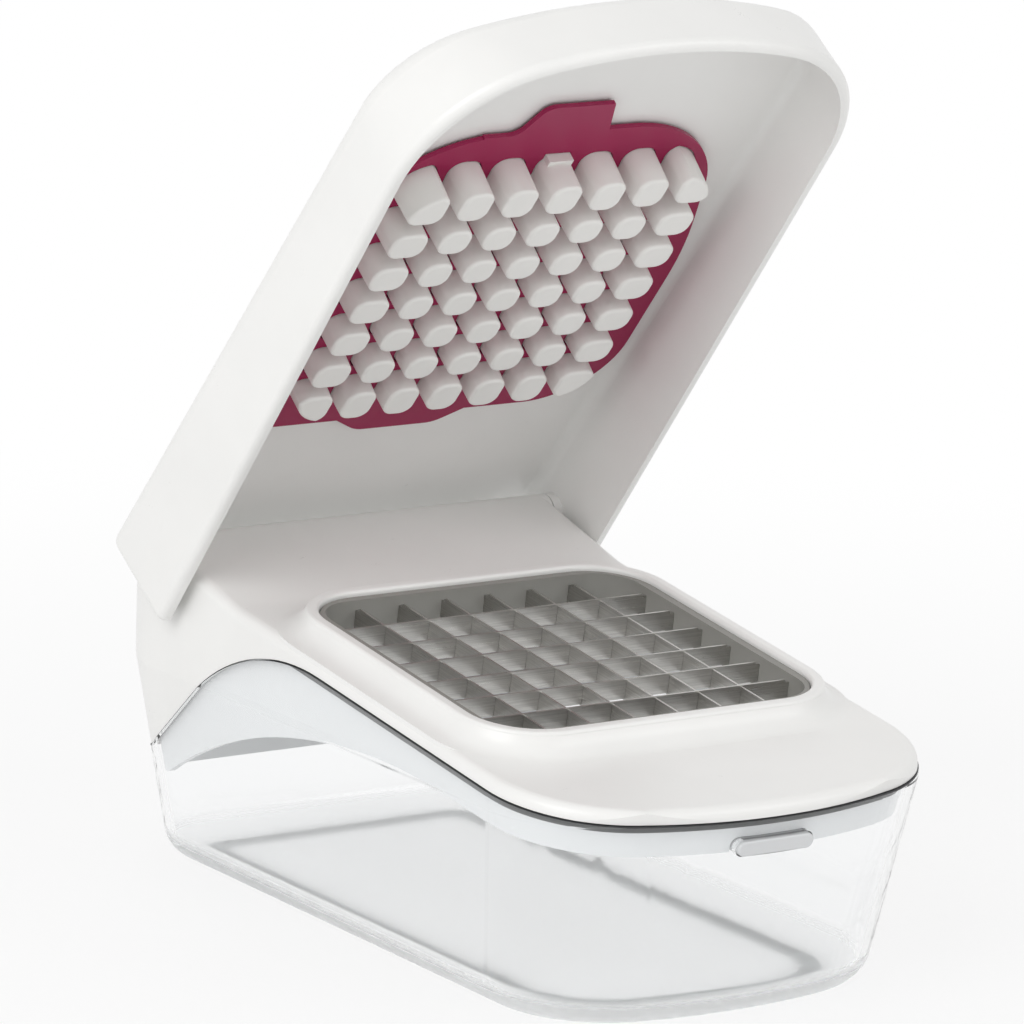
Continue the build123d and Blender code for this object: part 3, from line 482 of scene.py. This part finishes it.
class CHOPPER_OT_button(bpy.types.Operator):
    """Release button, its guide, its spring and its two screws"""

    bl_idname = "chopper.button"
    bl_label = "Release button"

    def execute(self, context):
        plastics = chosen(context, "plastics")
        metal = chosen(context, "steel")
        dress(moulded("button_white", plastics.button, 0.2, grain=0.3), "release_button")
        dress(moulded("guide_white", plastics.button, 0.34, grain=0.4), "button_guide")
        dress(steel("spring_wire", metal.pin, 0.24, (6.0, 0.4, 6.0)), "button_spring")
        dress(steel("guide_screw", metal.screw, 0.3, (2.0, 2.0, 0.6)), "guide_screws")
        return {"FINISHED"}


class CHOPPER_OT_blades(bpy.types.Operator):
    """Twelve steel strips with a grain along their length"""

    bl_idname = "chopper.blades"
    bl_label = "Blades"

    def execute(self, context):
        colour = chosen(context, "steel").blade
        for kind, grain in (("blade_across", (0.05, 1.0, 5.0)), ("blade_along", (1.0, 0.05, 5.0))):
            strips = [name for name in NODES if name.startswith(kind)]
            dress(steel(kind, colour, 0.26, grain, DECK_TURN), *strips)
        return {"FINISHED"}


class CHOPPER_OT_blade_frame(bpy.types.Operator):
    """The two grey rings that clamp the blades, and their rivets"""

    bl_idname = "chopper.blade_frame"
    bl_label = "Blade frame"

    def execute(self, context):
        colour = chosen(context, "plastics").blade_frame
        grey = moulded("frame_grey", colour, 0.46, grain=0.35, depth=0.012)
        dress(grey, "blade_frame_upper", "blade_frame_lower")
        rivet = steel("rivet_steel", chosen(context, "steel").pin, 0.28, (2.0, 2.0, 0.5))
        dress(rivet, "blade_frame_rivets")
        return {"FINISHED"}


class CHOPPER_OT_lid(bpy.types.Operator):
    """White lid shell and the two hinge pins"""

    bl_idname = "chopper.lid"
    bl_label = "Lid"

    def execute(self, context):
        plastics = chosen(context, "plastics")
        white = moulded("lid_white", plastics.white, plastics.shell_roughness, turn=LID_TURN)
        dress(white, "lid_shell")
        pin = steel("hinge_pin", chosen(context, "steel").pin, 0.2, (0.1, 3.0, 3.0))
        dress(pin, "hinge_pin_left", "hinge_pin_right")
        return {"FINISHED"}


class CHOPPER_OT_pusher(bpy.types.Operator):
    """Pusher with its field of blocks"""

    bl_idname = "chopper.pusher"
    bl_label = "Pusher"

    def execute(self, context):
        colour = chosen(context, "plastics").blocks
        dress(moulded("pusher_white", colour, 0.36, grain=0.4, turn=LID_TURN), "pusher")
        return {"FINISHED"}


class CHOPPER_OT_cleaning_grid(bpy.types.Operator):
    """Deep pink cleaning grid round the blocks"""

    bl_idname = "chopper.cleaning_grid"
    bl_label = "Cleaning grid"

    def execute(self, context):
        colour = chosen(context, "plastics").grid
        pink = moulded("grid_pink", colour, 0.3, 0.45, 0.006, LID_TURN, gloss=0.25)
        dress(pink, "cleaning_grid")
        return {"FINISHED"}


class CHOPPER_OT_stage(bpy.types.Operator):
    """Pale floor, soft lamps, surrounding light and the camera"""

    bl_idname = "chopper.stage"
    bl_label = "Studio"

    def execute(self, context):
        stage = chosen(context, "stage")
        make_floor(context, stage)
        make_world(context, stage)
        make_lamp(context, "key_lamp", KEY_PLACE, KEY_SIZE, stage.key_power)
        make_lamp(context, "fill_lamp", FILL_PLACE, FILL_SIZE, stage.fill_power)
        make_camera(context)
        context.scene.view_settings.view_transform = "Standard"
        return {"FINISHED"}


def make_floor(context, stage):
    """A wide floor that is nearly plain white where it is seen and keeps a faint shadow."""
    mesh = bpy.data.meshes.new("floor")
    build = bmesh.new()
    bmesh.ops.create_circle(build, cap_ends=True, segments=FLOOR_SEGMENTS, radius=FLOOR_RADIUS)
    build.to_mesh(mesh)
    build.free()
    floor = bpy.data.objects.new("floor", mesh)
    context.scene.collection.objects.link(floor)
    paint = new_paint("floor_white")
    place = {"Vector": paint.coordinate("Object")}
    distance = paint.node("ShaderNodeVectorMath", {"operation": "LENGTH"}, place, output="Value")
    plain = distance.smooth(SHADOW_NEAR, SHADOW_FAR) * SHADOW_SHARE + (1 - SHADOW_SHARE)
    matte = paint.node("ShaderNodeBsdfDiffuse", {}, {"Color": tuple(stage.floor)})
    glow = paint.node("ShaderNodeEmission", {}, {"Color": (1, 1, 1), "Strength": 1.0})
    mesh.materials.append(paint.finish(paint.blend(paint.seen() * plain, matte, glow)))


def make_world(context, stage):
    """Even light from all round, and plain white where it is seen."""
    world = bpy.data.worlds.new("surrounding_light")
    context.scene.world = world
    paint = Paint(world, output="ShaderNodeOutputWorld")
    strength = paint.seen() * (1 - stage.sky) + stage.sky
    light = {"Color": (1, 1, 1), "Strength": strength}
    paint.finish(paint.node("ShaderNodeBackground", {}, light))


def make_lamp(context, name, place, size, power):
    """A large soft lamp that looks at the chopper."""
    lamp = bpy.data.lights.new(name, "AREA")
    lamp.shape = "DISK"
    lamp.size = size
    lamp.energy = power
    item = bpy.data.objects.new(name, lamp)
    context.scene.collection.objects.link(item)
    item.location = place
    item.rotation_euler = (LAMP_AIM - place).to_track_quat("-Z", "Y").to_euler()


def make_camera(context):
    """Camera at the photograph's angle."""
    camera = bpy.data.cameras.new("camera")
    camera.sensor_width = SENSOR_WIDTH
    camera.lens = CAMERA_LENS
    camera.clip_end = CAMERA_REACH
    item = bpy.data.objects.new("camera", camera)
    context.scene.collection.objects.link(item)
    back = -CAMERA_FORWARD.normalized()
    right = (CAMERA_RIGHT - back * CAMERA_RIGHT.dot(back)).normalized()
    up = back.cross(right)
    turn = Matrix((right, up, back)).transposed().to_4x4()
    item.matrix_world = Matrix.Translation(CAMERA_PLACE) @ turn
    context.scene.camera = item


class CHOPPER_PT_panel(bpy.types.Panel):
    """Lists the pieces, the studio and their settings"""

    bl_label = "Vegetable Chopper"
    bl_idname = "CHOPPER_PT_panel"
    bl_space_type = "VIEW_3D"
    bl_region_type = "UI"
    bl_category = "Chopper"

    def draw(self, context):
        column = self.layout.column()
        for operator in OPERATORS:
            column.operator(operator.bl_idname)
        for group, kind in SETTINGS.items():
            box = self.layout.box()
            box.label(text=kind.__doc__)
            for name in kind.__annotations__:
                box.prop(chosen(context, group), name)


OPERATORS = (
    CHOPPER_OT_tub,
    CHOPPER_OT_housing,
    CHOPPER_OT_button,
    CHOPPER_OT_blades,
    CHOPPER_OT_blade_frame,
    CHOPPER_OT_lid,
    CHOPPER_OT_pusher,
    CHOPPER_OT_cleaning_grid,
    CHOPPER_OT_stage,
)


def register():
    """Registers the classes and gives the scene its settings."""
    for kind in (*SETTINGS.values(), *OPERATORS, CHOPPER_PT_panel):
        bpy.utils.register_class(kind)
    for group, kind in SETTINGS.items():
        setattr(bpy.types.Scene, "chopper_" + group, PointerProperty(type=kind))


def unregister():
    """Takes the settings and the classes away again."""
    for group in SETTINGS:
        delattr(bpy.types.Scene, "chopper_" + group)
    for kind in reversed((*SETTINGS.values(), *OPERATORS, CHOPPER_PT_panel)):
        bpy.utils.unregister_class(kind)


def main():
    """Dresses every piece and builds the studio."""
    register()
    for operator in OPERATORS:
        group, name = operator.bl_idname.split(".")
        getattr(getattr(bpy.ops, group), name)()
    bpy.context.view_layer.update()


if __name__ == "__main__":
    main()
